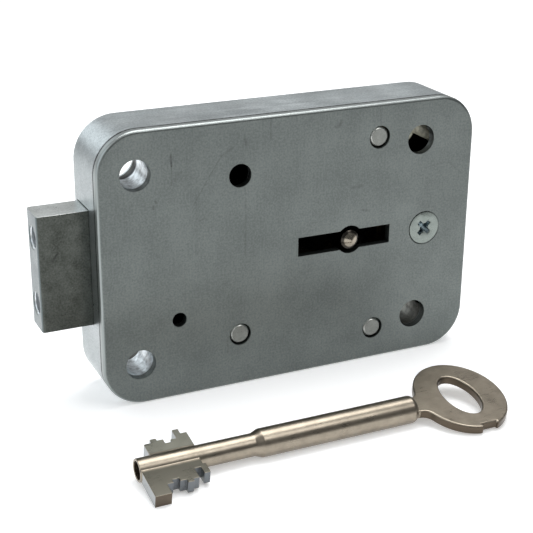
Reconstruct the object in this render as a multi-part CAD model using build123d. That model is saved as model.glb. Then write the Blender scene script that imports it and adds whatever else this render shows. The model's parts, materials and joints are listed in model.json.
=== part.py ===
from build123d import *
from math import asin, atan2, cos, degrees, hypot, radians, sin, sqrt
import os

# A key operated safe lock with seven levers, its sliding bolt and its double bitted key.
# Millimetres. +X runs along the case away from the bolt, +Y into the case, +Z up.
# The origin is the centre of the four fixing holes in the front face, which has the keyhole.

# Case and cover
CASE_LENGTH = 97.0
CASE_HEIGHT = 66.2
CASE_DEPTH = 17.2
CASE_CENTRE_X = 3.0
CORNER_RADIUS = 10.0
CASE_WALL = 2.2
FLOOR_THICKNESS = 2.0
REAR_EDGE_RADIUS = 0.65
COVER_THICKNESS = 2.0
COVER_EDGE_RADIUS = 0.8

# Fixing holes, for M6 socket screws put in from the back
FIXING_SPACING_X = 73.0
FIXING_SPACING_Z = 46.0
FIXING_HOLE_RADIUS = 3.6
COUNTERBORE_RADIUS = 5.5
COUNTERBORE_DEPTH = 6.3
BOSS_WALL = 1.2
RIGHT_BOSS_STEP_Y = 9.4

# Openings in the cover that show nothing fitted in them
SIGHT_HOLE_FROM_EDGE = 13.25
SIGHT_HOLE = (-11.3, CASE_HEIGHT / 2 - SIGHT_HOLE_FROM_EDGE)
SIGHT_HOLE_RADIUS = 2.75
SMALL_HOLE = (-26.75, -13.35)
SMALL_HOLE_RADIUS = 1.75

# Cover screw, M4 countersunk with a cross recess
SCREW_FROM_END = 12.8
SCREW_X = CASE_CENTRE_X + CASE_LENGTH / 2 - SCREW_FROM_END
SCREW_HEAD_RADIUS = 4.1
SCREW_HEAD_DEPTH = 1.9
SCREW_RADIUS = 2.0
SCREW_LENGTH = 11.0
SCREW_SEAT_GAP = 0.27
SCREW_THREAD_GAP = 0.02
SCREW_BOSS_RADIUS = 4.5
RECESS_LENGTH = 4.4
RECESS_WIDTH = 1.0
RECESS_DEPTH = 1.5

# Pins that are riveted in the floor and show through the cover
PIN_RADIUS = 2.45
PIN_CHAMFER = 0.4
PIN_BELOW_FACE = 0.25
PIN_COVER_GAP = 0.3
RIVET_RADIUS = 1.7
RIVET_HEAD_RADIUS = 2.4
RIVET_GAP = 0.02
LEVER_PIN_X = 25.0
LEVER_PIN_FROM_EDGE = 8.25
LEVER_PIN_Z = CASE_HEIGHT / 2 - LEVER_PIN_FROM_EDGE
GUIDE_PIN_FROM_EDGE = 13.2
GUIDE_PIN = (-11.3, GUIDE_PIN_FROM_EDGE - CASE_HEIGHT / 2)

# Key axis and keyhole
KEY_AXIS_X = 17.7
KEYHOLE_SIDE_GAP = 0.85
KEYHOLE_LONG_END_GAP = 3.3
KEYHOLE_SHORT_END_GAP = 2.3
KEYHOLE_TUBE_GAP = 0.95
POST_GAP = 0.05
POST_PROUD = 1.2
POST_CONE_LENGTH = 1.2
POST_TIP_RADIUS = 0.1
KEY_POCKET_DEPTH = 1.0
KEY_END_GAP = 0.2
KEY_SWEEP_GAP = 0.4

# Key
KEY_TUBE_RADIUS = 2.55
KEY_BORE_RADIUS = 2.05
KEY_BORE_DEPTH = 20.0
KEY_TUBE_LENGTH = 26.5
KEY_SHOULDER_LENGTH = 1.7
KEY_SHANK_RADIUS = 3.2
KEY_SHANK_END = 67.0
KEY_NOSE_RADIUS = 1.4
BIT_THICKNESS = 3.0
BIT_START = 0.2
TOOTH_RADIUS = 10.6
TOOTH_END = 3.9
SHORT_BIT_START = 3.6
LONG_STEPS = (7.65, 6.7, 7.6, 8.55, 7.8, 4.85, 6.9)
SHORT_STEPS = (5.95, 7.1, 6.35, 4.95, 5.8, 8.7, 7.1)
UNDERCUT_LENGTH = 0.6
UNDERCUT_RADIUS = 3.9
BOW_CENTRE = 79.3
BOW_HALF_LENGTH = 10.5
BOW_HALF_WIDTH = 12.4
BOW_EYE_HALF_LENGTH = 4.05
BOW_EYE_HALF_WIDTH = 7.25
BOW_THICKNESS = 2.2
BOW_NECK_HALF_WIDTH = 2.7
BOW_NECK_FILLET = 2.5
BOW_TANG_LENGTH = 4.0
BOW_TANG_GAP = 0.02
BOW_NICK_OFFSET = 0.8
BOW_NICK_LENGTH = 3.8
BOW_NICK_DEPTH = 1.1
KEY_TIP_X = -49.6
KEY_LIES_Y = -33.4

# Bolt
BOLT_TRAVEL = 10.0
BOLT_PROJECTION = 12.0
BOLT_HEAD_DEPTH = 8.2
BOLT_HEAD_HEIGHT = 28.0
BOLT_HEAD_LENGTH = 23.5
BOLT_EDGE_RADIUS = 0.8
BOLT_GAP = 0.2
BOLT_ARM_END_X = 31.0
BOLT_ARM_CORNER = 2.0
BOLT_HOLE_RADIUS = 2.5
BOLT_HOLE_DEPTH = 12.0
BOLT_HOLE_SPACING = 16.0
BOLT_HOLE_CHAMFER = 0.4
RAIL_THICKNESS = 2.4
RAIL_END_X = -29.0
TALON_DEPTH = sqrt(TOOTH_RADIUS**2 - (BOLT_TRAVEL / 2) ** 2)
TALON_GAP = 0.3
GUIDE_SLOT_GAP = 0.1
GUIDE_SLOT_END_GAP = 0.3
GUIDE_LOBE_WALL = 3.0

# Bolt stump, the round post on the bolt that the levers hold
STUMP_X = -12.0
STUMP_RADIUS = 2.2
STUMP_RIVET_RADIUS = 1.5
STUMP_COVER_GAP = 0.4

# Levers
LEVER_GAP = 0.2
LEVER_COVER_GAP = 0.2
LEVER_BORE_GAP = 0.06
LEVER_EYE_RADIUS = 4.2
LEVER_WINDOW_RADIUS = 9.6
LEVER_WINDOW_WALL = 3.6
LEVER_SURROUND_OFFSET = 1.4
LEVER_KEYHOLE_GAP = 0.2
LEVER_NOSE = (-10.5, -1.65)
LEVER_NOSE_RADIUS = 9.2
LEVER_LIFT_BASE = 4.0
LEVER_LIFT_PER_STEP = 0.45
BELLY_FROM = 80.0
BELLY_TO = 135.0
BELLY_CORNER = 0.5
GATE_GAP = 0.35
POCKET_GAP = 0.2
POCKET_TOP = 2.9
POCKET_BOTTOM = -6.2
POCKET_CORNER = 1.0
SPACER_WALL = 1.5

# Lever springs, one flat strip between each lever and the case wall
SPRING_THICKNESS = 0.35
SPRING_SIDE_GAP = 0.1
SPRING_FOOT_X = 13.0
SPRING_WALL_X = -8.0
SPRING_SEAT_GAP = 0.05

# Depths worked out from the driving dimensions
FLOOR_Y = CASE_DEPTH - FLOOR_THICKNESS
POCKET_FLOOR_Y = FLOOR_Y + KEY_POCKET_DEPTH
KEY_TIP_Y = POCKET_FLOOR_Y - KEY_END_GAP
LEVERS_REAR_Y = KEY_TIP_Y - TOOTH_END
LEVER_COUNT = len(LONG_STEPS)
LEVER_PITCH = (LEVERS_REAR_Y - COVER_THICKNESS - LEVER_COVER_GAP) / LEVER_COUNT
LEVER_THICKNESS = LEVER_PITCH - LEVER_GAP
BIT_END = TOOTH_END + LEVER_COUNT * LEVER_PITCH
SPRING_WIDTH = LEVER_THICKNESS - 2 * SPRING_SIDE_GAP
TAIL_FRONT_Y = LEVERS_REAR_Y + LEVER_GAP / 2
BOLT_REAR_Y = FLOOR_Y - BOLT_GAP
BOLT_FRONT_Y = BOLT_REAR_Y - BOLT_HEAD_DEPTH
CASE_LEFT_X = CASE_CENTRE_X - CASE_LENGTH / 2
CASE_RIGHT_X = CASE_CENTRE_X + CASE_LENGTH / 2
BOLT_TIP_X = CASE_LEFT_X - BOLT_PROJECTION
WALL_Z = CASE_HEIGHT / 2 - CASE_WALL
POST_RADIUS = KEY_BORE_RADIUS - POST_GAP
SMALL_OVERRUN = 1.0
EDGE_SEARCH = 0.01


def on_face(depth):
    """Plane at a depth whose own axes are the lock's X and Z."""
    return Plane(origin=(0, depth, 0), x_dir=(1, 0, 0), z_dir=(0, -1, 0))


def plate(shape, front, rear):
    """Extrude a shape drawn in X and Z from one depth to another."""
    return extrude(on_face(front) * shape, amount=rear - front, dir=(0, 1, 0))


def disc(x, z, radius):
    """A circle in the X and Z drawing plane."""
    return Pos(x, z) * Circle(radius)


def block(left, right, bottom, top):
    """A rectangle in the X and Z drawing plane, by its four sides."""
    middle = Pos((left + right) / 2, (bottom + top) / 2)
    return middle * Rectangle(right - left, top - bottom)


def round_block(left, right, bottom, top, corner):
    """A rectangle with round corners in the X and Z drawing plane."""
    middle = Pos((left + right) / 2, (bottom + top) / 2)
    return middle * RectangleRounded(right - left, top - bottom, corner)


def cone(x, z, front, rear, front_radius, rear_radius):
    """A straight cone along Y between two depths."""
    length = rear - front
    place = Pos(x, (front + rear) / 2, z) * Rot(-90, 0, 0)
    return place * Cone(front_radius, rear_radius, length)


def edges_at_depth(shape, depth):
    """The edges that lie flat at one depth."""
    return shape.edges().filter_by_position(Axis.Y, depth - EDGE_SEARCH, depth + EDGE_SEARCH)


def fixing_places():
    """Centres of the four fixing holes."""
    sides = (-1, 1)
    return [(a * FIXING_SPACING_X / 2, b * FIXING_SPACING_Z / 2) for b in sides for a in sides]


def turned(shape, angle, centre):
    """A drawing turned about a point, anticlockwise in X and Z."""
    x, z = centre
    return Pos(x, z) * Rot(0, 0, angle) * Pos(-x, -z) * shape


def case_outline(inset=0.0):
    """The rounded rectangle of the case, drawn in by an amount all round."""
    length = CASE_LENGTH - 2 * inset
    height = CASE_HEIGHT - 2 * inset
    return Pos(CASE_CENTRE_X, 0) * RectangleRounded(length, height, CORNER_RADIUS - inset)


def keyhole_arms(gap=0.0):
    """The slot that lets the long and the short bit in, grown by a gap all round."""
    half = BIT_THICKNESS / 2 + KEYHOLE_SIDE_GAP + gap
    left = KEY_AXIS_X - TOOTH_RADIUS - KEYHOLE_LONG_END_GAP - gap
    right = KEY_AXIS_X + max(SHORT_STEPS) + KEYHOLE_SHORT_END_GAP + gap
    return block(left, right, -half, half)


def keyhole_outline():
    """Round centre with a long and a short arm, cut to the key and its clearances."""
    return keyhole_arms() + disc(KEY_AXIS_X, 0, KEY_TUBE_RADIUS + KEYHOLE_TUBE_GAP)


def boss_with_webs(x, z):
    """A fixing boss, joined to the two walls of its corner."""
    radius = COUNTERBORE_RADIUS + BOSS_WALL
    side = CASE_RIGHT_X if x > 0 else CASE_LEFT_X
    end = CASE_HEIGHT / 2 if z > 0 else -CASE_HEIGHT / 2
    across = block(min(x, side), max(x, side), z - BOSS_WALL, z + BOSS_WALL)
    upright = block(x - BOSS_WALL, x + BOSS_WALL, min(z, end), max(z, end))
    return (disc(x, z, radius) + across + upright) & case_outline(CASE_WALL / 2)


def right_boss_relief():
    """The room between the two bosses on the right, which leaves their bores half open."""
    left = FIXING_SPACING_X / 2 - COUNTERBORE_RADIUS - BOSS_WALL
    top = FIXING_SPACING_Z / 2 - BOSS_WALL
    return block(left, CASE_RIGHT_X - CASE_WALL, -top, top)


def rivet_hole(x, z):
    """A hole through the floor with a seat for the rivet's spread end."""
    bore = plate(disc(x, z, RIVET_RADIUS + RIVET_GAP), FLOOR_Y - SMALL_OVERRUN, CASE_DEPTH)
    spread = RIVET_HEAD_RADIUS - RIVET_RADIUS
    narrow = RIVET_RADIUS + RIVET_GAP
    seat = cone(x, z, CASE_DEPTH - spread, CASE_DEPTH, narrow, narrow + spread)
    return bore + seat


def make_case():
    """Deep tray with corner bosses, bolt guides, a screw boss and a pocket for the key's tip."""
    body = plate(case_outline(), COVER_THICKNESS, CASE_DEPTH)
    body = fillet(edges_at_depth(body, CASE_DEPTH), REAR_EDGE_RADIUS)
    body -= plate(case_outline(CASE_WALL), COVER_THICKNESS - SMALL_OVERRUN, FLOOR_Y)
    for x, z in fixing_places():
        body += plate(boss_with_webs(x, z), COVER_THICKNESS, FLOOR_Y)
    body -= plate(right_boss_relief(), COVER_THICKNESS, RIGHT_BOSS_STEP_Y)
    body += plate(disc(SCREW_X, 0, SCREW_BOSS_RADIUS), COVER_THICKNESS, FLOOR_Y)
    guide = BOLT_HEAD_HEIGHT / 2 + BOLT_GAP
    for side in (-1, 1):
        near = side * guide
        far = side * (guide + RAIL_THICKNESS)
        rail = block(CASE_LEFT_X + CASE_WALL / 2, RAIL_END_X, min(near, far), max(near, far))
        body += plate(rail, BOLT_FRONT_Y - BOLT_GAP, FLOOR_Y)
    window = block(CASE_LEFT_X - SMALL_OVERRUN, CASE_LEFT_X + 2 * CASE_WALL, -guide, guide)
    body -= plate(window, BOLT_FRONT_Y - BOLT_GAP, FLOOR_Y)
    for x, z in fixing_places():
        body -= plate(disc(x, z, FIXING_HOLE_RADIUS), 0, CASE_DEPTH + SMALL_OVERRUN)
        counterbore = disc(x, z, COUNTERBORE_RADIUS)
        body -= plate(counterbore, CASE_DEPTH - COUNTERBORE_DEPTH, CASE_DEPTH + SMALL_OVERRUN)
    body -= plate(disc(SCREW_X, 0, SCREW_RADIUS + SCREW_THREAD_GAP), COVER_THICKNESS, FLOOR_Y)
    sweep = disc(KEY_AXIS_X, 0, TOOTH_RADIUS + KEY_SWEEP_GAP)
    body -= plate(sweep, FLOOR_Y - SMALL_OVERRUN, POCKET_FLOOR_Y)
    for x, z in pin_places().values():
        body -= rivet_hole(x, z)
    body -= rivet_hole(KEY_AXIS_X, 0)
    return body


def pin_places():
    """The three riveted pins by name, with the X and Z of each."""
    return {
        "upper_lever_pin": (LEVER_PIN_X, LEVER_PIN_Z),
        "lower_lever_pin": (LEVER_PIN_X, -LEVER_PIN_Z),
        "bolt_guide_pin": GUIDE_PIN,
    }


def make_cover():
    """Flat cover with the keyhole, the fixing holes, pin holes and screw seat."""
    cover = plate(case_outline(), 0, COVER_THICKNESS)
    cover = fillet(edges_at_depth(cover, 0), COVER_EDGE_RADIUS)
    holes = keyhole_outline()
    for x, z in fixing_places():
        holes += disc(x, z, FIXING_HOLE_RADIUS)
    for x, z in pin_places().values():
        holes += disc(x, z, PIN_RADIUS + PIN_COVER_GAP)
    holes += disc(*SIGHT_HOLE, SIGHT_HOLE_RADIUS)
    holes += disc(*SMALL_HOLE, SMALL_HOLE_RADIUS)
    cover -= plate(holes, -SMALL_OVERRUN, COVER_THICKNESS + SMALL_OVERRUN)
    cover -= screw_shape(SCREW_SEAT_GAP, COVER_THICKNESS + SMALL_OVERRUN)
    return cover


def screw_shape(gap, length):
    """Countersunk head and shank, grown by a gap, from the front face inwards."""
    head_radius = SCREW_HEAD_RADIUS + gap
    shank_radius = SCREW_RADIUS + gap
    head = cone(SCREW_X, 0, 0, SCREW_HEAD_DEPTH, head_radius, shank_radius)
    return head + plate(disc(SCREW_X, 0, shank_radius), 0, length)


def make_cover_screw():
    """The one screw that holds the cover, with its cross recess."""
    screw = screw_shape(0, SCREW_LENGTH)
    arm = Rectangle(RECESS_LENGTH, RECESS_WIDTH)
    cross = Rot(0, 0, 45) * arm + Rot(0, 0, -45) * arm
    screw -= plate(Pos(SCREW_X, 0) * cross, 0, RECESS_DEPTH)
    return screw


def riveted_pin(x, z, radius, front):
    """A pin that stands on the floor with its thin end spread in the floor's hole."""
    pin = plate(disc(x, z, radius), front, FLOOR_Y)
    pin += plate(disc(x, z, RIVET_RADIUS), FLOOR_Y, CASE_DEPTH)
    spread = RIVET_HEAD_RADIUS - RIVET_RADIUS
    pin += cone(x, z, CASE_DEPTH - spread, CASE_DEPTH, RIVET_RADIUS, RIVET_HEAD_RADIUS)
    return pin


def make_pin(x, z):
    """A lever or guide pin with a chamfered front end."""
    pin = riveted_pin(x, z, PIN_RADIUS, PIN_BELOW_FACE)
    return chamfer(edges_at_depth(pin, PIN_BELOW_FACE), PIN_CHAMFER)


def make_key_post():
    """The post that the hollow key turns on, standing in the floor's pocket."""
    cone_end = POST_CONE_LENGTH - POST_PROUD
    post = cone(KEY_AXIS_X, 0, -POST_PROUD, cone_end, POST_TIP_RADIUS, POST_RADIUS)
    post += plate(disc(KEY_AXIS_X, 0, POST_RADIUS), cone_end, POCKET_FLOOR_Y)
    post += plate(disc(KEY_AXIS_X, 0, RIVET_RADIUS), POCKET_FLOOR_Y, CASE_DEPTH)
    spread = RIVET_HEAD_RADIUS - RIVET_RADIUS
    return post + cone(KEY_AXIS_X, 0, CASE_DEPTH - spread, CASE_DEPTH, RIVET_RADIUS, RIVET_HEAD_RADIUS)


def tail_outline():
    """The bolt's thin tail: a fork round the key with a talon, and a lobe with the guide slot."""
    half = BOLT_HEAD_HEIGHT / 2
    body = round_block(BOLT_TIP_X + SMALL_OVERRUN, BOLT_ARM_END_X, -half, half, BOLT_ARM_CORNER)
    pin_x, pin_z = GUIDE_PIN
    slot_half = PIN_RADIUS + GUIDE_SLOT_GAP
    lobe_left = pin_x - BOLT_TRAVEL - slot_half - GUIDE_LOBE_WALL
    lobe_right = pin_x + slot_half + GUIDE_LOBE_WALL
    lobe_bottom = pin_z - slot_half - GUIDE_LOBE_WALL
    body += round_block(lobe_left, lobe_right, lobe_bottom, 0, BOLT_ARM_CORNER)
    run = BOLT_TRAVEL + 2 * GUIDE_SLOT_END_GAP
    slot = SlotCenterToCenter(run, 2 * slot_half)
    body -= Pos(pin_x - BOLT_TRAVEL / 2, pin_z) * slot
    reach = TOOTH_RADIUS + KEY_SWEEP_GAP
    fork_left = KEY_AXIS_X - reach - BOLT_TRAVEL - GUIDE_SLOT_END_GAP
    body -= block(fork_left, BOLT_ARM_END_X + SMALL_OVERRUN, -reach, TALON_DEPTH)
    talon_x = KEY_AXIS_X - BOLT_TRAVEL / 2
    talon_half = BIT_THICKNESS / 2 + TALON_GAP
    body -= block(talon_x - talon_half, talon_x + talon_half, 0, TOOTH_RADIUS + TALON_GAP)
    return body


def make_bolt():
    """Thick head, which the case guides, with two tapped holes and the thin forked tail."""
    half = BOLT_HEAD_HEIGHT / 2
    head = plate(block(BOLT_TIP_X, BOLT_TIP_X + BOLT_HEAD_LENGTH, -half, half), BOLT_FRONT_Y, BOLT_REAR_Y)
    end_edges = head.edges().filter_by(Axis.Z).sort_by(Axis.X)[0:2]
    head = fillet(end_edges, BOLT_EDGE_RADIUS)
    bolt = head + plate(tail_outline(), TAIL_FRONT_Y, BOLT_REAR_Y)
    middle_y = (BOLT_FRONT_Y + BOLT_REAR_Y) / 2
    for side in (-1, 1):
        mouth = (BOLT_TIP_X, middle_y, side * BOLT_HOLE_SPACING / 2)
        along = Pos(*mouth) * Rot(0, 90, 0)
        bolt -= along * Cylinder(BOLT_HOLE_RADIUS, 2 * BOLT_HOLE_DEPTH)
        wide = BOLT_HOLE_RADIUS + BOLT_HOLE_CHAMFER
        bolt -= along * Cone(wide + BOLT_HOLE_CHAMFER, BOLT_HOLE_RADIUS, 2 * BOLT_HOLE_CHAMFER)
    bolt -= plate(disc(STUMP_X, 0, STUMP_RIVET_RADIUS), TAIL_FRONT_Y, BOLT_REAR_Y)
    return bolt


def make_bolt_stump():
    """The round stump, riveted in the tail, that passes through all the levers."""
    stump = plate(disc(STUMP_X, 0, STUMP_RADIUS), COVER_THICKNESS + STUMP_COVER_GAP, TAIL_FRONT_Y)
    return stump + plate(disc(STUMP_X, 0, STUMP_RIVET_RADIUS - RIVET_GAP), TAIL_FRONT_Y, BOLT_REAR_Y)


def lever_depths(index):
    """Front and rear depth of a lever, counted from the bolt's tail."""
    centre = LEVERS_REAR_Y - (index + 0.5) * LEVER_PITCH
    return centre - LEVER_THICKNESS / 2, centre + LEVER_THICKNESS / 2


def hangs_on_upper_pin(index):
    """Levers hang on the upper and the lower pin by turns."""
    return index % 2 == 0


def key_step(index):
    """Radius of the key's step that lifts a lever: the long bit's or the short bit's."""
    return LONG_STEPS[index] if hangs_on_upper_pin(index) else SHORT_STEPS[index]


def lever_lift(index):
    """Degrees that a lever turns from rest until its gate stands open."""
    return LEVER_LIFT_BASE + LEVER_LIFT_PER_STEP * (key_step(index) - min(SHORT_STEPS))


def lever_outline_discs():
    """Eye, key window surround and nose, whose common hull is the lever."""
    surround = LEVER_WINDOW_RADIUS + LEVER_WINDOW_WALL
    return (
        (LEVER_PIN_X, LEVER_PIN_Z, LEVER_EYE_RADIUS),
        (KEY_AXIS_X + LEVER_SURROUND_OFFSET, 0, surround),
        (*LEVER_NOSE, LEVER_NOSE_RADIUS),
    )


def point_turned(x, z, angle, centre):
    """A point turned about a centre, anticlockwise in X and Z."""
    across = x - centre[0]
    up = z - centre[1]
    turn = radians(angle)
    return (
        centre[0] + across * cos(turn) - up * sin(turn),
        centre[1] + across * sin(turn) + up * cos(turn),
    )


def gate_path(lift):
    """The stump's way through a lever that turns evenly while the bolt draws back."""
    pivot = (LEVER_PIN_X, LEVER_PIN_Z)
    shares = (0, 0.5, 1)
    return [point_turned(STUMP_X + BOLT_TRAVEL * s, 0, lift * s, pivot) for s in shares]


def belly(radius, lift):
    """The part of the lever that its key step pushes, round the key's axis when lifted."""
    outer = LEVER_WINDOW_RADIUS + LEVER_WINDOW_WALL
    inner_arc = CenterArc((0, 0), radius, BELLY_FROM, BELLY_TO - BELLY_FROM)
    outer_arc = CenterArc((0, 0), outer, BELLY_FROM, BELLY_TO - BELLY_FROM)
    first = Line(inner_arc @ 0, outer_arc @ 0)
    last = Line(inner_arc @ 1, outer_arc @ 1)
    sector = make_face([inner_arc, first, outer_arc, last])
    corners = sector.vertices().sort_by_distance((0, 0, 0))[0:2]
    sector = fillet(corners, BELLY_CORNER)
    lifted = Pos(KEY_AXIS_X, 0) * sector
    return turned(lifted, lift, (LEVER_PIN_X, LEVER_PIN_Z))


def lever_outline(index):
    """A lever for the upper pin: bore, key window with its belly, and gate with two pockets."""
    lift = lever_lift(index)
    edges = [edge for x, z, r in lever_outline_discs() for edge in disc(x, z, r).edges()]
    shape = make_hull(edges)
    window = disc(KEY_AXIS_X, 0, LEVER_WINDOW_RADIUS)
    window += turned(window, lift, (LEVER_PIN_X, LEVER_PIN_Z))
    window -= belly(key_step(index), lift)
    window += keyhole_arms(LEVER_KEYHOLE_GAP)
    shape -= window
    path = gate_path(lift)
    width = 2 * (STUMP_RADIUS + GATE_GAP)
    shape -= SlotArc(ThreePointArc(*path), width)
    for x in (path[0][0], path[2][0]):
        half = width / 2 + POCKET_GAP
        shape -= round_block(x - half, x + half, POCKET_BOTTOM, POCKET_TOP, POCKET_CORNER)
    return shape - disc(LEVER_PIN_X, LEVER_PIN_Z, PIN_RADIUS + LEVER_BORE_GAP)


def flipped(shape):
    """A drawing for the lower pin, the mirror image of one for the upper pin."""
    return mirror(shape, Plane.XZ)


def make_lever(index):
    """One lever at its depth, on the pin that it hangs on."""
    shape = lever_outline(index)
    if not hangs_on_upper_pin(index):
        shape = flipped(shape)
    return plate(shape, *lever_depths(index))


def lever_edge_height(x):
    """Z of a lever's outer edge, which is the line that touches its eye and its nose."""
    eye_x, eye_z, eye_radius = lever_outline_discs()[0]
    nose_x, nose_z, nose_radius = lever_outline_discs()[2]
    span = hypot(eye_x - nose_x, eye_z - nose_z)
    slope = atan2(eye_z - nose_z, eye_x - nose_x) - asin((nose_radius - eye_radius) / span)
    touch_x = eye_x - eye_radius * sin(slope)
    touch_z = eye_z + eye_radius * cos(slope)
    return touch_z + (x - touch_x) * sin(slope) / cos(slope)


def make_lever_spring(index):
    """A bowed strip that bears on the lever's edge and lies against the case wall."""
    half = SPRING_THICKNESS / 2
    wall = WALL_Z - half - SPRING_SEAT_GAP
    foot = lever_edge_height(SPRING_FOOT_X) + 2 * half + SPRING_SEAT_GAP
    run = SPRING_FOOT_X - SPRING_WALL_X
    drop = wall - foot
    radius = (run * run + drop * drop) / (2 * drop)
    sweep = degrees(asin(run / radius))
    strip = SlotArc(CenterArc((SPRING_WALL_X, wall - radius), radius, 90 - sweep, sweep), 2 * half)
    if not hangs_on_upper_pin(index):
        strip = flipped(strip)
    front, rear = lever_depths(index)
    middle = (front + rear) / 2
    return plate(strip, middle - SPRING_WIDTH / 2, middle + SPRING_WIDTH / 2)


def make_spacers(upper):
    """Washers that fill a pin between its own levers."""
    z = LEVER_PIN_Z if upper else -LEVER_PIN_Z
    inner = PIN_RADIUS + LEVER_BORE_GAP
    ring = disc(LEVER_PIN_X, z, inner + SPACER_WALL) - disc(LEVER_PIN_X, z, inner)
    free = [index for index in range(LEVER_COUNT) if hangs_on_upper_pin(index) != upper]
    return Compound([plate(ring, *lever_depths(index)).solid() for index in free])


def step_profile(steps, start):
    """Corner points of a bit from its first step to its end, out from the key's axis."""
    points = [(start, 0), (start, steps[0])]
    for index, radius in enumerate(steps):
        near = TOOTH_END + index * LEVER_PITCH
        if index:
            points.append((near, radius))
        points.append((near + LEVER_PITCH, radius))
    points.append((BIT_END, 0))
    return points


def key_place():
    """Where the key lies: on its shank and on the long bit's lower corner."""
    half = BIT_THICKNESS / 2
    reach = hypot(TOOTH_RADIUS, half)
    tilt = degrees(asin(KEY_SHANK_RADIUS / reach)) - degrees(atan2(half, TOOTH_RADIUS))
    return Pos(KEY_TIP_X, KEY_LIES_Y, -CASE_HEIGHT / 2 + KEY_SHANK_RADIUS) * Rot(tilt, 0, 0)


def round_bar(start, end, radius):
    """A cylinder along the key's axis."""
    return Pos((start + end) / 2, 0, 0) * Rot(0, 90, 0) * Cylinder(radius, end - start)


def bow_slab(shape, thickness):
    """A drawing in the key's own plane, thickened both ways."""
    return extrude(Pos(0, 0, -thickness / 2) * shape, amount=thickness)


def make_key_blade():
    """Shank, drilled tube and the two stepped bits, turned and milled from one bar."""
    shank = round_bar(KEY_TUBE_LENGTH + KEY_SHOULDER_LENGTH, KEY_SHANK_END, KEY_SHANK_RADIUS)
    blade = fillet(shank.edges().sort_by(Axis.X)[-1], KEY_NOSE_RADIUS)
    shoulder = Cone(KEY_TUBE_RADIUS, KEY_SHANK_RADIUS, KEY_SHOULDER_LENGTH)
    blade += Pos(KEY_TUBE_LENGTH + KEY_SHOULDER_LENGTH / 2, 0, 0) * Rot(0, 90, 0) * shoulder
    blade += round_bar(0, KEY_TUBE_LENGTH, KEY_TUBE_RADIUS)
    long_points = [(BIT_START, 0), (BIT_START, TOOTH_RADIUS), (TOOTH_END, TOOTH_RADIUS)]
    long_points += step_profile(LONG_STEPS, TOOTH_END)[1:]
    short_points = step_profile(SHORT_STEPS, SHORT_BIT_START)
    long_bit = make_face(Polyline([(u, -b) for u, b in long_points], close=True))
    long_bit -= block(BIT_END - UNDERCUT_LENGTH, BIT_END, -UNDERCUT_RADIUS, 0)
    short_bit = make_face(Polyline(short_points, close=True))
    blade += bow_slab(long_bit, BIT_THICKNESS)
    blade += bow_slab(short_bit, BIT_THICKNESS)
    blade -= round_bar(-SMALL_OVERRUN, KEY_BORE_DEPTH, KEY_BORE_RADIUS)
    slot_start = KEY_SHANK_END - BOW_TANG_LENGTH - BOW_TANG_GAP
    slot = block(slot_start, KEY_SHANK_END + SMALL_OVERRUN, -KEY_SHANK_RADIUS, KEY_SHANK_RADIUS)
    blade -= bow_slab(slot, BOW_THICKNESS + 2 * BOW_TANG_GAP)
    return key_place() * blade


def make_key_bow():
    """Flat oval bow with its long eye, a neck and the tang that sits in the shank."""
    oval = Pos(BOW_CENTRE, 0) * Ellipse(BOW_HALF_LENGTH, BOW_HALF_WIDTH)
    neck_end = BOW_CENTRE - BOW_EYE_HALF_LENGTH
    half = BOW_NECK_HALF_WIDTH
    shape = oval + block(KEY_SHANK_END - BOW_TANG_LENGTH, neck_end, -half, half)
    flank = BOW_CENTRE - BOW_HALF_LENGTH * sqrt(1 - (half / BOW_HALF_WIDTH) ** 2)
    inner = [v for v in shape.vertices() if abs(v.X - flank) < EDGE_SEARCH]
    shape = fillet(inner, BOW_NECK_FILLET)
    shape -= Pos(BOW_CENTRE, 0) * Ellipse(BOW_EYE_HALF_LENGTH, BOW_EYE_HALF_WIDTH)
    nick_top = -BOW_HALF_WIDTH + BOW_NICK_DEPTH
    nick_left = BOW_CENTRE + BOW_NICK_OFFSET - BOW_NICK_LENGTH / 2
    shape -= block(nick_left, nick_left + BOW_NICK_LENGTH, -BOW_HALF_WIDTH - SMALL_OVERRUN, nick_top)
    bow = bow_slab(shape, BOW_THICKNESS)
    return key_place() * bow


def all_parts():
    """Every piece of the lock by its node name."""
    parts = {
        "case": make_case(),
        "cover_plate": make_cover(),
        "cover_screw": make_cover_screw(),
        "key_post": make_key_post(),
        "bolt": make_bolt(),
        "bolt_stump": make_bolt_stump(),
        "upper_lever_spacers": make_spacers(True),
        "lower_lever_spacers": make_spacers(False),
        "key_blade": make_key_blade(),
        "key_bow": make_key_bow(),
    }
    for name, (x, z) in pin_places().items():
        parts[name] = make_pin(x, z)
    for index in range(LEVER_COUNT):
        number = LEVER_COUNT - index
        parts[f"lever_{number}"] = make_lever(index)
        parts[f"lever_spring_{number}"] = make_lever_spring(index)
    return parts


os.makedirs("parts", exist_ok=True)
for node, shape in all_parts().items():
    export_step(shape, f"parts/{node}.step")
for index in range(LEVER_COUNT):
    print(f"lever_{LEVER_COUNT - index} turns {lever_lift(index):.3f} degrees over the bolt's travel")
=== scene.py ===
import json
import logging
import math
from collections.abc import Iterator, Sequence
from contextlib import contextmanager
from dataclasses import dataclass, field
from enum import Enum
from functools import cache

import bpy
from mathutils import Matrix, Vector

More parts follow.
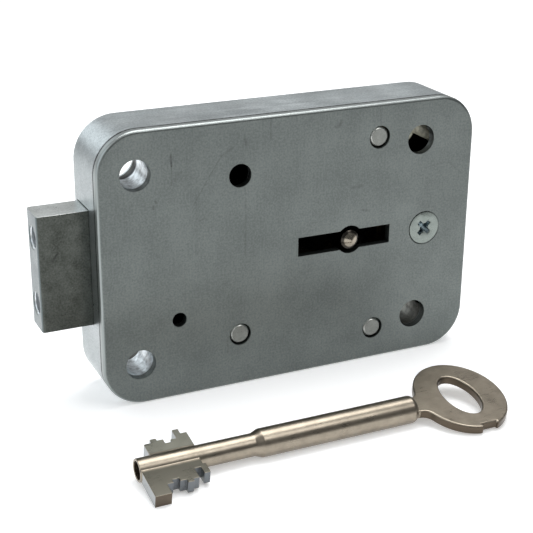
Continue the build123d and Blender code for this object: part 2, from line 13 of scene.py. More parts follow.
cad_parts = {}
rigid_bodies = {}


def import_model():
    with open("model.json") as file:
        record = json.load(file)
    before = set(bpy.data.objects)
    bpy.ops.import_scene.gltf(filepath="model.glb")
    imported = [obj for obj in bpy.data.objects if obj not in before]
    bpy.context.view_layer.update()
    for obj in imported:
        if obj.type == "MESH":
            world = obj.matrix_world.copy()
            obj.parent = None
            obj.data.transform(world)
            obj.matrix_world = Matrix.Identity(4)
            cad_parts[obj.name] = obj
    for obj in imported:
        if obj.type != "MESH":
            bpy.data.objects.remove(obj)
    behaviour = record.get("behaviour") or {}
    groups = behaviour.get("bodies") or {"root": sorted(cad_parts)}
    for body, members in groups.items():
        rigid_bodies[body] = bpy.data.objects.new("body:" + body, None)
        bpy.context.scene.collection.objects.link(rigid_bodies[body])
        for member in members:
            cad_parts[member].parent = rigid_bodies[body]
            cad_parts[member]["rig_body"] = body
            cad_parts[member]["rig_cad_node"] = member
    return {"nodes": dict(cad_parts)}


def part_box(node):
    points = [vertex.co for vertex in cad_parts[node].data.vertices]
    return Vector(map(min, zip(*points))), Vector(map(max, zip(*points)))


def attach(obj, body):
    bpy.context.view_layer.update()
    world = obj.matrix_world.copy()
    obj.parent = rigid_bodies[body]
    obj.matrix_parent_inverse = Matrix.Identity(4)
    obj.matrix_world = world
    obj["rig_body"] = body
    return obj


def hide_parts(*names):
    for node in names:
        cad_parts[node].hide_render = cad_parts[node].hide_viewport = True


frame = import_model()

logging.basicConfig(level=logging.INFO, format="%(name)s: %(message)s")
log = logging.getLogger("safe_lock")

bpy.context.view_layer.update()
MM = 0.001
MICRON = 0.000001

# Angles in degrees: an edge that stays sharp, on a modelled piece and on a CAD copy, and a flat one.
SHARP_ANGLE = 30.0
CAD_SHARP_ANGLE = 32.0
FLAT_ANGLE = 0.3

# Gaps in millimetres up to which corners are joined, on a CAD copy and after a cut.
DOUBLED_CORNER = 0.002
CUT_CORNER = 0.01

# Directions, and the cosine from which a face looks squarely that way.
RIGHT, FRONT, BACK = (1, 0, 0), (0, -1, 0), (0, 1, 0)
SQUARELY = 0.9

# Sides of a modelled round.
ROUND_SIDES = 72

# Factors that leave out the direction in which a view looks.
IN_FRONT_VIEW = (1, 0, 1)
IN_END_VIEW = (0, 1, 1)

# Middle ranges of the noise, which are stretched over a finish's whole tone and gloss.
TONE_SPAN = (0.32, 0.68)
GLOSS_SPAN = (0.35, 0.65)

# Ranges of the noise that thins marks, the painted shade in the seam and bores' walls, and the share that is
# left at each end.
RAGGED_SPAN = (0.3, 0.6, 0.35, 1.0)
SEAM_SHADE_SPAN = (0.35, 0.5, 0.8, 1.0)
SCUFF_SPAN = (0.38, 0.58, 0.6, 1.0)

# Radius of the corners of case and cover, in millimetres.
OUTLINE_CORNER = 10.0

BLACK = (0.0, 0.0, 0.0)
WHITE = (1.0, 1.0, 1.0)

Colour = tuple[float, float, float]
Point = tuple[float, float, float]
Socket = bpy.types.NodeSocket
Piece = bpy.types.Object


def corners_of(node: str) -> tuple[Vector, Vector]:
    """Return a CAD node's lowest and highest corners, in millimetres."""
    low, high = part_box(node)
    return Vector(low) / MM, Vector(high) / MM


def select_only(piece: Piece) -> None:
    """Leave one object selected and active.

    Args:
        piece: The object to work on.
    """
    bpy.ops.object.select_all(action="DESELECT")
    piece.select_set(True)
    bpy.context.view_layer.objects.active = piece


def apply_modifier(piece: Piece, kind: str, **settings: object) -> None:
    """Add a modifier to a piece and apply it at once.

    Args:
        piece: The piece to change.
        kind: Blender's modifier type.
        settings: The modifier's own values.
    """
    select_only(piece)
    modifier = piece.modifiers.new(kind.title(), kind)
    for name, value in settings.items():
        setattr(modifier, name, value)
    bpy.ops.object.modifier_apply(modifier=modifier.name)


def smooth_by_angle(piece: Piece, degrees: float) -> None:
    """Shade a piece smooth, with the edges left sharp that bend by more than an angle."""
    select_only(piece)
    bpy.ops.object.shade_smooth_by_angle(angle=math.radians(degrees))


@contextmanager
def shaping(piece: Piece, direction: Point) -> Iterator[None]:
    """Shape a piece in edit mode, with the faces selected that look one way.

    Args:
        piece: The piece to shape.
        direction: Where the selected faces look.
    """
    select_only(piece)
    bpy.ops.object.mode_set(mode="EDIT")
    bpy.ops.mesh.select_mode(type="FACE")
    bpy.ops.mesh.select_all(action="DESELECT")
    bpy.ops.object.mode_set(mode="OBJECT")
    for face in piece.data.polygons:
        face.select = face.normal.dot(direction) > SQUARELY
    bpy.ops.object.mode_set(mode="EDIT")
    yield
    bpy.ops.object.mode_set(mode="OBJECT")


def place_piece(piece: Piece, place: Point, turn: Point = (0, 0, 0), scale: Point = (1, 1, 1)) -> None:
    """Put a piece in place and apply that to its mesh.

    Args:
        piece: The piece.
        place: Its place, in millimetres.
        turn: Its turn about each axis, in radians.
        scale: Its scale along each axis.
    """
    select_only(piece)
    piece.location, piece.rotation_euler, piece.scale = place, turn, scale
    bpy.ops.object.transform_apply(location=True, rotation=True, scale=True)


def add_primitive(shape: str, **settings: object) -> Piece:
    """Add one of Blender's mesh primitives.

    Args:
        shape: Its kind, as in the operator's name.
        settings: The operator's own values.

    Returns:
        The new piece.
    """
    bpy.ops.object.select_all(action="DESELECT")
    getattr(bpy.ops.mesh, f"primitive_{shape}_add")(**settings)
    return bpy.context.view_layer.objects.active


def extrude(x: float = 0.0, y: float = 0.0) -> None:
    """Extrude the selected faces along X and Y."""
    bpy.ops.mesh.extrude_region_move(TRANSFORM_OT_translate={"value": (x, y, 0)})


def scale_faces(x: float, y: float, z: float) -> None:
    """Scale the selected faces from the origin."""
    bpy.ops.transform.resize(value=(x, y, z), center_override=(0, 0, 0))


def cut_away(piece: Piece, cutter: Piece) -> None:
    """Cut one closed shape out of a piece and delete the cutter."""
    apply_modifier(piece, "BOOLEAN", operation="DIFFERENCE", object=cutter, solver="EXACT")
    bpy.data.objects.remove(cutter)


def join_flats(piece: Piece, gap: float) -> None:
    """Join a piece's doubled corners and its faces that lie in one plane.

    Args:
        piece: The piece.
        gap: Distance up to which corners are joined, in millimetres.
    """
    select_only(piece)
    bpy.ops.object.mode_set(mode="EDIT")
    bpy.ops.mesh.select_all(action="SELECT")
    bpy.ops.mesh.remove_doubles(threshold=gap)
    bpy.ops.mesh.dissolve_limited(angle_limit=math.radians(FLAT_ANGLE))
    bpy.ops.object.mode_set(mode="OBJECT")


def scale_to_metres(piece: Piece) -> None:
    """Turn a piece that was modelled in millimetres, from the origin, into metres."""
    place_piece(piece, (0, 0, 0), scale=(MM, MM, MM))


def round_edges(
    piece: Piece, edge: float, segments: int = 2, sharp: float = SHARP_ANGLE, clamp: bool = True
) -> None:
    """Round a piece's sharp edges, turn it into metres and shade it.

    Args:
        piece: The piece, modelled in millimetres.
        edge: Width of the rounded edges, in millimetres.
        segments: Faces across a rounded edge.
        sharp: Angle from which an edge is rounded, in degrees.
        clamp: Whether a rounding stops before it meets another.
    """
    limit = {"limit_method": "ANGLE", "angle_limit": math.radians(sharp)}
    apply_modifier(piece, "BEVEL", width=edge, segments=segments, use_clamp_overlap=clamp, **limit)
    scale_to_metres(piece)
    smooth_by_angle(piece, sharp)


def refined_copy(node: str, edge: float, segments: int, sharp: float) -> Piece:
    """Copy a CAD node, join its loose triangles and give its sharp edges a small round.

    Args:
        node: The CAD node's name.
        edge: Width of the rounded edges, in millimetres.
        segments: Faces across a rounded edge.
        sharp: Angle from which an edge is rounded, in degrees.

    Returns:
        The copy, in place, at the origin.
    """
    source = frame["nodes"][node]
    select_only(source)
    bpy.ops.object.duplicate()
    piece = bpy.context.view_layer.objects.active
    bpy.ops.object.parent_clear(type="CLEAR_KEEP_TRANSFORM")
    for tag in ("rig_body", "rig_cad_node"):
        del piece[tag]
    piece.name = piece.data.name = f"{node}_finished"
    piece.scale = (1 / MM, 1 / MM, 1 / MM)
    bpy.ops.object.transform_apply(location=True, rotation=True, scale=True)
    bpy.ops.mesh.customdata_custom_splitnormals_clear()
    join_flats(piece, DOUBLED_CORNER)
    round_edges(piece, edge, segments, sharp, clamp=False)
    apply_modifier(piece, "WEIGHTED_NORMAL", keep_sharp=True, weight=100)
    return piece


class Brush(Enum):
    """Which way the fine lines of a worked surface run, as factors of their frequency."""

    NONE = (1.0, 1.0, 1.0)
    UPRIGHT = (1.0, 1.0, 0.04)
    ALONG = (0.04, 1.0, 1.0)


class Field(Enum):
    """The noise fields: waves per millimetre, octaves, strength of the finer ones, and shift."""

    BLOTCHES = (1.0, 5.0, 0.6, 0.0)
    LINES = (1.0, 4.0, 0.6, 3.0)
    RAGGED = (1.5, 2.0, 0.55, 5.0)
    SMUDGES = (0.7, 3.0, 0.55, 11.0)
    SPECKS = (2.2, 2.0, 0.55, 17.0)
    # Breaks up the painted shade in the seam below the cover.
    DIRT = (1.1, 2.0, 0.55, 23.0)
    SCUFFS = (0.8, 4.0, 0.55, 31.0)
    FLOOR = (0.01, 2.0, 0.55, 0.0)


class NodeGraph:
    """The node tree of one material, with short calls for what the finishes share."""

    def __init__(self, name: str) -> None:
        """Start a material with a shader, an output and positions in millimetres.

        Args:
            name: The material's name.
        """
        self.material = bpy.data.materials.new(name)
        self.material.use_nodes = True
        self.tree = self.material.node_tree
        self.tree.nodes.clear()
        self.shader = self.add("ShaderNodeBsdfPrincipled")
        output = self.add("ShaderNodeOutputMaterial")
        self.tree.links.new(self.shader.outputs["BSDF"], output.inputs["Surface"])
        coordinates = self.add("ShaderNodeTexCoord")
        self.place = self.vector("SCALE", coordinates.outputs["Object"], scale=1 / MM)
        self.normal = coordinates.outputs["Normal"]

    def add(self, kind: str, **settings: object) -> bpy.types.Node:
        """Add a node and set its properties.

        Args:
            kind: Blender's node type.
            settings: Properties of the node.

        Returns:
            The new node.
        """
        node = self.tree.nodes.new(kind)
        for name, value in settings.items():
            setattr(node, name, value)
        return node

    def feed(self, socket: Socket, value: Socket | float | Sequence[float]) -> None:
        """Link an input socket to an output socket, or set its own value."""
        if isinstance(value, bpy.types.NodeSocket):
            self.tree.links.new(value, socket)
        else:
            socket.default_value = value

    def set_shader(self, **values: Socket | float | Sequence[float]) -> None:
        """Feed the shader's inputs, with an underscore for each space in a name.

        Args:
            values: Inputs by name.
        """
        for name, value in values.items():
            if isinstance(value, tuple):
                value = (*value, 1.0)
            self.feed(self.shader.inputs[name.replace("_", " ")], value)

    def math(self, operation: str, a: Socket | float, b: Socket | float = 0.0) -> Socket:
        """Return the result of a Math node.

        Args:
            operation: Blender's operation name.
            a: First value.
            b: Second value.

        Returns:
            The node's output.
        """
        node = self.add("ShaderNodeMath", operation=operation)
        self.feed(node.inputs[0], a)
        self.feed(node.inputs[1], b)
        return node.outputs[0]

    def vector(
        self, operation: str, a: Socket | Point, b: Socket | Point = (0, 0, 0), scale: Socket | float = 1.0
    ) -> Socket:
        """Return the result of a Vector Math node.

        Args:
            operation: Blender's operation name.
            a: First vector.
            b: Second vector.
            scale: The factor of the SCALE operation.

        Returns:
            The vector, or the number for DOT_PRODUCT and LENGTH.
        """
        node = self.add("ShaderNodeVectorMath", operation=operation)
        self.feed(node.inputs[0], a)
        if operation == "SCALE":
            self.feed(node.inputs["Scale"], scale)
        elif operation != "LENGTH":
            self.feed(node.inputs[1], b)
        single = operation in ("DOT_PRODUCT", "LENGTH")
        return node.outputs["Value" if single else "Vector"]

    def parts(self, vector: Socket) -> tuple[Socket, Socket, Socket]:
        """Split a vector into X, Y and Z."""
        node = self.add("ShaderNodeSeparateXYZ")
        self.feed(node.inputs[0], vector)
        return node.outputs[0], node.outputs[1], node.outputs[2]

    def noise(self, field: Field, factor: float | Point = 1.0) -> Socket:
        """Return a noise field that is fixed to the piece.

        Args:
            field: The field.
            factor: What its frequency is multiplied by, or one number for each axis.

        Returns:
            The noise, from 0 to 1.
        """
        frequency, detail, roughness, shift = field.value
        factors = factor if isinstance(factor, tuple) else (factor, factor, factor)
        mapping = self.add("ShaderNodeMapping")
        self.feed(mapping.inputs["Vector"], self.place)
        mapping.inputs["Scale"].default_value = tuple(frequency * one for one in factors)
        mapping.inputs["Location"].default_value = (shift, shift * 0.7, -shift)
        node = self.add("ShaderNodeTexNoise")
        self.feed(node.inputs["Vector"], mapping.outputs["Vector"])
        for name, number in (("Scale", 1.0), ("Detail", detail), ("Roughness", roughness)):
            node.inputs[name].default_value = number
        return node.outputs[0]

    def span(
        self, value: Socket, low: float, high: float, out_low: float = 0.0, out_high: float = 1.0
    ) -> Socket:
        """Map a value from one range to another, held at the ends.

        Args:
            value: What to map.
            low: Start of the first range.
            high: End of the first range.
            out_low: What the start becomes.
            out_high: What the end becomes.

        Returns:
            The mapped value.
        """
        node = self.add("ShaderNodeMapRange", clamp=True)
        names = ("Value", "From Min", "From Max", "To Min", "To Max")
        for name, number in zip(names, (value, low, high, out_low, out_high)):
            self.feed(node.inputs[name], number)
        return node.outputs[0]

    def mix(self, share: Socket, first: Socket | Colour, second: Socket | Colour) -> Socket:
        """Mix two colours.

        Args:
            share: How much of the second colour shows.
            first: The colour at 0.
            second: The colour at 1.

        Returns:
            The mixed colour.
        """
        node = self.add("ShaderNodeMix", data_type="RGBA")
        self.feed(node.inputs[0], share)
        for socket, colour in ((node.inputs[6], first), (node.inputs[7], second)):
            self.feed(socket, (*colour, 1.0) if isinstance(colour, tuple) else colour)
        return node.outputs[2]

    def bump(self, height: Socket, microns: float) -> Socket:
        """Turn a height field into a surface normal.

        Args:
            height: The field.
            microns: How deep a step of 1 in the field is.

        Returns:
            The normal.
        """
        node = self.add("ShaderNodeBump")
        node.inputs["Strength"].default_value = 1.0
        node.inputs["Distance"].default_value = microns * MICRON
        self.feed(node.inputs["Height"], height)
        return node.outputs[0]

    def both(self, *shares: Socket) -> Socket:
        """Return the product of several shares."""
        total = shares[0]
        for share in shares[1:]:
            total = self.math("MULTIPLY", total, share)
        return total

    def blend(self, share: float, first: Socket, second: Socket) -> Socket:
        """Return the weighted mean of two values, from the second one's share."""
        return self.math("ADD", self.math("MULTIPLY", first, 1 - share), self.math("MULTIPLY", second, share))

    def inside_outline(self, node: str) -> Socket:
        """Return how far a point lies inside the outline of the case or the cover.

        Args:
            node: The CAD node, whose outline is a rectangle with round corners.

        Returns:
            The distance in X and Z, in millimetres, and at most the corners' radius.
        """
        low, high = corners_of(node)
        straight = (high - low) / 2 - OUTLINE_CORNER * Vector(IN_FRONT_VIEW)
        away = self.vector("ABSOLUTE", self.vector("SUBTRACT", self.place, tuple((low + high) / 2)))
        past = self.vector("MAXIMUM", self.vector("SUBTRACT", away, tuple(straight)), (0, 0, 0))
        reach = self.vector("LENGTH", self.vector("MULTIPLY", past, IN_FRONT_VIEW))
        return self.math("SUBTRACT", OUTLINE_CORNER, reach)

    def distance(self, centre: Point, across: Point) -> Socket:
        """Return the distance from an axis through a place, with 1 for each direction across it."""
        offset = self.vector("SUBTRACT", self.place, centre)
        return self.vector("LENGTH", self.vector("MULTIPLY", offset, across))

    def near_axis(self, centre: Point, across: Point, radius: float) -> Socket:
        """Return 1 within a radius of an axis, which is given as for distance, or else 0."""
        return self.math("LESS_THAN", self.distance(centre, across), radius)

    def facing(self) -> tuple[Socket, Socket, Socket]:
        """Return how squarely the surface faces along X, Y and Z, from 0 to 1."""
        return self.parts(self.vector("ABSOLUTE", self.normal))

    def depth(self) -> Socket:
        """Return the depth behind the cover's face, in millimetres."""
        return self.parts(self.place)[1]


@dataclass(frozen=True)
class Mark:
    """A scratch, or a spot where both ends are the same, on the front face.

    Attributes:
        start: X and Z of one end, in millimetres.
        end: X and Z of the other end.
        width: Width across, in millimetres.
        shade: How dark it is, from 0 to 1.
    """

    start: tuple[float, float]
    end: tuple[float, float]
    width: float
    shade: float


def marking(graph: NodeGraph, marks: Sequence[Mark], deepest: float) -> Socket:
    """Return how strongly marks show at each point of a front face.

    Args:
        graph: The material's nodes.
        marks: The marks.
        deepest: Depth up to which they show, in millimetres.

    Returns:
        A value from 0 to 1.
    """
    flat = graph.vector("MULTIPLY", graph.place, IN_FRONT_VIEW)
    total: Socket | float = 0.0
    for mark in marks:
        start = Vector((mark.start[0], 0, mark.start[1]))
        run = Vector((mark.end[0], 0, mark.end[1])) - start
        away = graph.vector("SUBTRACT", flat, tuple(start))
        if run.length > 0:
            share = graph.vector("DOT_PRODUCT", away, tuple(run / run.length_squared))
            held = graph.span(share, 0.0, 1.0)
            away = graph.vector("SUBTRACT", away, graph.vector("SCALE", tuple(run), scale=held))
        near = graph.span(graph.vector("LENGTH", away), 0.0, mark.width, mark.shade, 0.0)
        total = graph.math("ADD", total, near)
    front = graph.math("LESS_THAN", graph.depth(), deepest)
    ragged = graph.span(graph.noise(Field.RAGGED), *RAGGED_SPAN)
    return graph.both(total, front, ragged)


@dataclass(frozen=True)
class MetalFinish:
    """A metal surface with blotches, fine lines and uneven gloss.

    Attributes:
        name: The record's material slot that it dresses.
        light: Colour of its lighter areas.
        dark: Colour of its darker areas.
        roughness: Middle of its roughness.
        blotch: Size of its blotches, in millimetres.
        spread: How far the roughness goes up and down.
        brush: Which way its fine lines run.
        relief: Depth of its bumps, in microns.
        pitting: Size of its fine grain, in millimetres.
        grain: Share of the fine grain in its tone, beside the blotches.
        specks: Strength of its small specks.
    """

    name: str
    light: Colour
    dark: Colour
    roughness: float
    blotch: float
    spread: float = 0.06
    brush: Brush = Brush.NONE
    relief: float = 4.0
    pitting: float = 0.5
    grain: float = 0.35
    specks: float = 0.0

    def lines(self, graph: NodeGraph) -> Socket:
        """Return the field of fine lines, from 0 to 1."""
        return graph.noise(Field.LINES, tuple(factor / self.pitting for factor in self.brush.value))

    def tone(self, graph: NodeGraph) -> Socket:
        """Return the share of the light colour, from blotches and fine lines.

        Args:
            graph: The material's nodes.

        Returns:
            A value from 0 to 1.
        """
        blotches = graph.noise(Field.BLOTCHES, 1 / self.blotch)
        both = graph.blend(self.grain, blotches, self.lines(graph))
        if self.specks > 0:
            fine = graph.math("SUBTRACT", graph.noise(Field.SPECKS), 0.5)
            both = graph.math("ADD", both, graph.math("MULTIPLY", fine, self.specks))
        return graph.span(both, *TONE_SPAN)

    def colour(self, graph: NodeGraph) -> Socket:
        """Return the base colour."""
        return graph.mix(self.tone(graph), self.dark, self.light)

    def surface(self, graph: NodeGraph) -> None:
        """Dress the shader.

        Args:
            graph: The material's nodes.
        """
        lines = self.lines(graph)
        smudges = graph.noise(Field.SMUDGES, 1 / self.blotch)
        uneven = graph.blend(0.5, lines, smudges)
        low, high = self.roughness - self.spread, self.roughness + self.spread
        graph.set_shader(
            Base_Color=self.colour(graph),
            Metallic=1.0,
            Roughness=graph.span(uneven, *GLOSS_SPAN, low, high),
            Normal=graph.bump(lines, self.relief),
        )

    @cache
    def material(self) -> bpy.types.Material:
        """Build the material once, and return the same one each time.

        Returns:
            The material.
        """
        graph = NodeGraph(f"{self.name}_finish")
        self.surface(graph)
        return graph.material


@dataclass(frozen=True)
class BoredZinc(MetalFinish):
    """Zinc with painted light and shade in its fixing holes, and painted shade inside, on its end faces and
    in the seam below the cover.

    Attributes:
        bores: X and Z of each fixing hole, in millimetres, and the painted light or shade of its wall and its
            far end.
        bore_radius: Radius within which a hole's wall lies.
        bore_end: Depths between which the wall's colour turns into the far end's.
        inside_shade_colour: Painted shade on the walls and floor behind the cover.
        inside_from: Depth from which the inside starts.
        wall: Distance of the inside from the case's outer faces.
        seam_shade_colour: Painted shade in the seam below the cover.
        seam_depths: Depths between which that painted shade fades out.
        seam_reach: Distance from the outline up to which it shows.
        end_face_shade: Strength of the painted shade on the two short end faces.
    """

    bores: tuple[tuple[float, float, Colour, Colour], ...] = ()
    bore_radius: float = 3.75
    bore_end: tuple[float, float] = (9.2, 9.7)
    inside_shade_colour: Colour = (0.06, 0.06, 0.055)
    inside_from: float = 2.1
    wall: float = 0.8
    seam_shade_colour: Colour = (0.03, 0.03, 0.03)
    seam_depths: tuple[float, float] = (2.4, 2.65)
    seam_reach: float = 0.5
    end_face_shade: float = 0.3

    def colour(self, graph: NodeGraph) -> Socket:
        """Return the base colour, with painted light and shade in the holes and painted shade inside, on the
        end faces and in the seam.

        Args:
            graph: The material's nodes.

        Returns:
            The colour.
        """
        depth, inset = graph.depth(), graph.inside_outline("case")
        floor = corners_of("case")[1].y - self.wall
        inside = graph.both(
            graph.math("GREATER_THAN", depth, self.inside_from),
            graph.math("LESS_THAN", depth, floor),
            graph.math("GREATER_THAN", inset, self.wall),
        )
        # Painted shade: the two short end faces are darkened towards black.
        end = graph.span(graph.facing()[0], 0.75, 0.98, 0.0, self.end_face_shade)
        colour = graph.mix(end, super().colour(graph), BLACK)
        # Painted shade on the walls and floor behind the cover.
        colour = graph.mix(inside, colour, self.inside_shade_colour)
        # Painted light or shade on each fixing hole's wall and far end, mottled by scuffs.
        deep = graph.span(depth, *self.bore_end)
        scuffs = graph.span(graph.noise(Field.SCUFFS), *SCUFF_SPAN)
        for x, z, wall, far_end in self.bores:
            near = graph.near_axis((x, 0, z), IN_FRONT_VIEW, self.bore_radius)
            scuffed = graph.mix(scuffs, BLACK, graph.mix(deep, wall, far_end))
            colour = graph.mix(graph.both(near, inside), colour, scuffed)
        # Painted shade in the seam below the cover, broken up by noise.
        broken = graph.span(graph.noise(Field.DIRT), *SEAM_SHADE_SPAN)
        outer = graph.math("LESS_THAN", inset, self.seam_reach)
        seam = graph.both(graph.span(depth, *self.seam_depths, 1.0, 0.0), outer, broken)
        return graph.mix(seam, colour, self.seam_shade_colour)


@dataclass(frozen=True)
class TurnedSteel(MetalFinish):
    """Steel of the key post, with painted shade that darkens it towards its rim.

    Attributes:
        rim: Colour of the painted shade on the rim and the side.
        unshaded_radius: Radius of the middle that has no painted shade, in millimetres.
        fade: Width over which the painted shade sets in.
    """

    rim: Colour = (0.05, 0.045, 0.038)
    unshaded_radius: float = 1.6
    fade: float = 0.25

    def colour(self, graph: NodeGraph) -> Socket:
        """Return the base colour, with painted shade towards the rim.

        Args:
            graph: The material's nodes.

        Returns:
            The colour.
        """
        low, high = corners_of("key_post")
        radial = graph.distance(tuple((low + high) / 2), IN_FRONT_VIEW)
        # Painted shade towards the rim of the post.
        outer = graph.span(radial, self.unshaded_radius, self.unshaded_radius + self.fade)
        return graph.mix(outer, super().colour(graph), self.rim)


@dataclass(frozen=True)
class ChamferedSteel(MetalFinish):
    """Steel pins with a painted highlight on the chamfer round their front faces.

    Attributes:
        edge: Colour of the painted highlight on the chamfer.
        deepest: Depth where the chamfer ends, in millimetres.
    """

    edge: Colour = (0.62, 0.63, 0.6)
    deepest: float = 0.7

    def colour(self, graph: NodeGraph) -> Socket:
        """Return the base colour, with a painted highlight on the chamfer.

        Args:
            graph: The material's nodes.

        Returns:
            The colour.
        """
        # Painted highlight on the chamfer near the front face.
        _, facing, _ = graph.facing()
        slope = graph.both(graph.span(facing, 0.8, 0.95, 1.0, 0.0), graph.math("GREATER_THAN", facing, 0.3))
        edge = graph.both(slope, graph.math("LESS_THAN", graph.depth(), self.deepest))
        return graph.mix(edge, super().colour(graph), self.edge)


@dataclass(frozen=True)
class PaintedLightSteel(MetalFinish):
    """Steel with dark wide faces, and painted light on its end, top, bottom, edges and tapped holes.

    Attributes:
        lit_end_colour: Colour of the painted light on the end.
        upper: Colour of the painted light on the top and bottom.
        tapped: Colour of the painted light on the tapped holes' walls.
        hole_axes: Y and Z of the tapped holes, in millimetres.
        hole_radius: Radius within which a hole's wall lies.
        marks: Scratches on the front face.
        mark_colour: Colour of the scratches.
        front: Depth up to which they show.
        wear: Share of the wide faces' colour that shows, at random, on the faces with painted light.
    """

    lit_end_colour: Colour = (0.165, 0.192, 0.2)
    upper: Colour = (0.9, 0.93, 0.91)
    tapped: Colour = (0.85, 0.88, 0.9)
    hole_axes: tuple[tuple[float, float], ...] = ((10.9, 8.0), (10.9, -8.0))
    hole_radius: float = 2.6
    marks: tuple[Mark, ...] = ()
    mark_colour: Colour = (0.025, 0.026, 0.025)
    front: float = 7.0
    wear: float = 0.3

    def colour(self, graph: NodeGraph) -> Socket:
        """Return the base colour, with painted light on the end, top, bottom, edges and tapped holes' walls.

        Args:
            graph: The material's nodes.

        Returns:
            The colour.
        """
        _, facing, up = graph.facing()
        # Painted light: faces that do not look forward are brighter, the top and bottom most.
        bright = graph.mix(graph.span(up, 0.5, 0.8), self.lit_end_colour, self.upper)
        dull = super().colour(graph)
        worn = graph.mix(graph.math("MULTIPLY", self.tone(graph), self.wear), bright, dull)
        colour = graph.mix(graph.span(facing, 0.55, 0.8), worn, dull)
        # Painted light on the tapped holes' walls.
        for y, z in self.hole_axes:
            near = graph.near_axis((0, y, z), IN_END_VIEW, self.hole_radius)
            colour = graph.mix(near, colour, self.tapped)
        return graph.mix(marking(graph, self.marks, self.front), colour, self.mark_colour)


@dataclass(frozen=True)
class RecessedZinc(MetalFinish):
    """Zinc plated screw with painted shade in its recess.

    Attributes:
        recess: Colour of the painted shade in the recess.
        recess_depths: Depths between which the face's colour turns into it, in millimetres.
    """

    recess: Colour = (0.16, 0.205, 0.22)
    recess_depths: tuple[float, float] = (0.12, 0.32)

    def colour(self, graph: NodeGraph) -> Socket:
        """Return the base colour, with painted shade in the recess."""
        # Painted shade in the recess.
        return graph.mix(graph.span(graph.depth(), *self.recess_depths), super().colour(graph), self.recess)


@dataclass(frozen=True)
class CutNickel(MetalFinish):
    """Nickel plate on the key, with painted shade on the near bit's flat, the cut steps and the bow's sides,
    raw metal in its cuts, and painted light on the steps' sides that face the tip.

    Attributes:
        axis: Y and Z of the key's axis, in millimetres.
        tilt: Turn of the bits about that axis, in degrees.
        bits_end: X where the bits end.
        inner: Distances from the axis between which a bit starts.
        outer: Distance from the axis where the cuts end.
        flat: Colour of the painted shade on the near bit's flat sides.
        far_flat: Colour of the far bit's flat sides.
        cut: Colour of the cut steps, raw metal darkened with painted shade.
        side: Colour of the painted light on the steps' sides that face the key's tip.
        end: Colour of the teeth's end faces.
        bow_start: X where the bow leaves the shank.
        bow_side_shade: Colour of the painted shade on the bow's sides.
    """

    axis: tuple[float, float] = (-33.4, -29.9)
    tilt: float = 9.34
    bits_end: float = -35.0
    inner: tuple[float, float] = (2.8, 3.2)
    outer: float = 10.3
    flat: Colour = (0.118, 0.112, 0.092)
    far_flat: Colour = (0.34, 0.33, 0.28)
    cut: Colour = (0.15, 0.16, 0.17)
    side: Colour = (0.33, 0.345, 0.35)
    end: Colour = (0.11, 0.09, 0.07)
    bow_start: float = 17.6
    bow_side_shade: Colour = (0.1, 0.08, 0.06)

    def colour(self, graph: NodeGraph) -> Socket:
        """Return the base colour of shank, flats and cuts, with painted light and shade.

        Args:
            graph: The material's nodes.

        Returns:
            The colour.
        """
        turned = math.radians(self.tilt)
        flat_normal = (0.0, -math.sin(turned), math.cos(turned))
        origin = (self.bits_end, *self.axis)
        centred = graph.vector("SUBTRACT", graph.place, origin)
        along, _, _ = graph.parts(centred)
        radial = graph.distance(origin, IN_END_VIEW)
        facing = graph.math("ABSOLUTE", graph.vector("DOT_PRODUCT", graph.normal, flat_normal))
        on_bit = graph.both(graph.math("LESS_THAN", along, 0.0), graph.span(radial, *self.inner))
        on_flat = graph.both(on_bit, graph.span(facing, 0.5, 0.7))
        on_edge = graph.both(on_bit, graph.span(facing, 0.1, 0.3, 1.0, 0.0))
        lateral = graph.vector("DOT_PRODUCT", centred, (0.0, math.cos(turned), math.sin(turned)))
        # Painted shade on the near bit's flat; the far bit's flat keeps a lighter colour.
        flat = graph.mix(graph.math("GREATER_THAN", lateral, 0.0), self.flat, self.far_flat)
        plated = graph.mix(on_flat, super().colour(graph), flat)
        # Cut faces: raw metal with painted shade, and the teeth's end faces.
        raw = graph.mix(graph.math("GREATER_THAN", radial, self.outer), self.cut, self.end)
        # Painted light on the steps' sides that face the key's tip.
        tipward, _, _ = graph.parts(graph.normal)
        raw = graph.mix(graph.math("LESS_THAN", tipward, -0.7), raw, self.side)
        # Painted shade on the bow's sides.
        beyond = graph.math("GREATER_THAN", along, self.bow_start - self.bits_end)
        on_side = graph.both(beyond, graph.span(facing, 0.3, 0.6, 1.0, 0.0))
        plated = graph.mix(on_side, plated, self.bow_side_shade)
        return graph.mix(on_edge, plated, raw)


@dataclass(frozen=True)
class ScratchedZinc(MetalFinish):
    """Zinc plated sheet with handling marks on its front face and a painted highlight round its rim.

    Attributes:
        marks: The scratches and spots.
        mark_colour: Colour of the marks.
        mark_depth: Depth up to which they show, in millimetres.
        rim_highlight_width: Width of the painted highlight round the rim.
        rim_highlight_colour: Colour of the painted highlight on the rim.
    """

    marks: tuple[Mark, ...] = ()
    mark_colour: Colour = (0.05, 0.05, 0.05)
    mark_depth: float = 0.3
    rim_highlight_width: float = 0.75
    rim_highlight_colour: Colour = (0.32, 0.345, 0.34)

    def colour(self, graph: NodeGraph) -> Socket:
        """Return the base colour with its marks and the painted highlight on the rim.

        Args:
            graph: The material's nodes.

        Returns:
            The colour.
        """
        # Painted highlight on the rounded rim of the front face.
        near = graph.math("LESS_THAN", graph.inside_outline("cover_plate"), self.rim_highlight_width)
        rim = graph.both(near, graph.span(graph.facing()[1], 0.75, 0.97, 1.0, 0.0))
        plain = graph.mix(rim, super().colour(graph), self.rim_highlight_colour)
        return graph.mix(marking(graph, self.marks, self.mark_depth), plain, self.mark_colour)


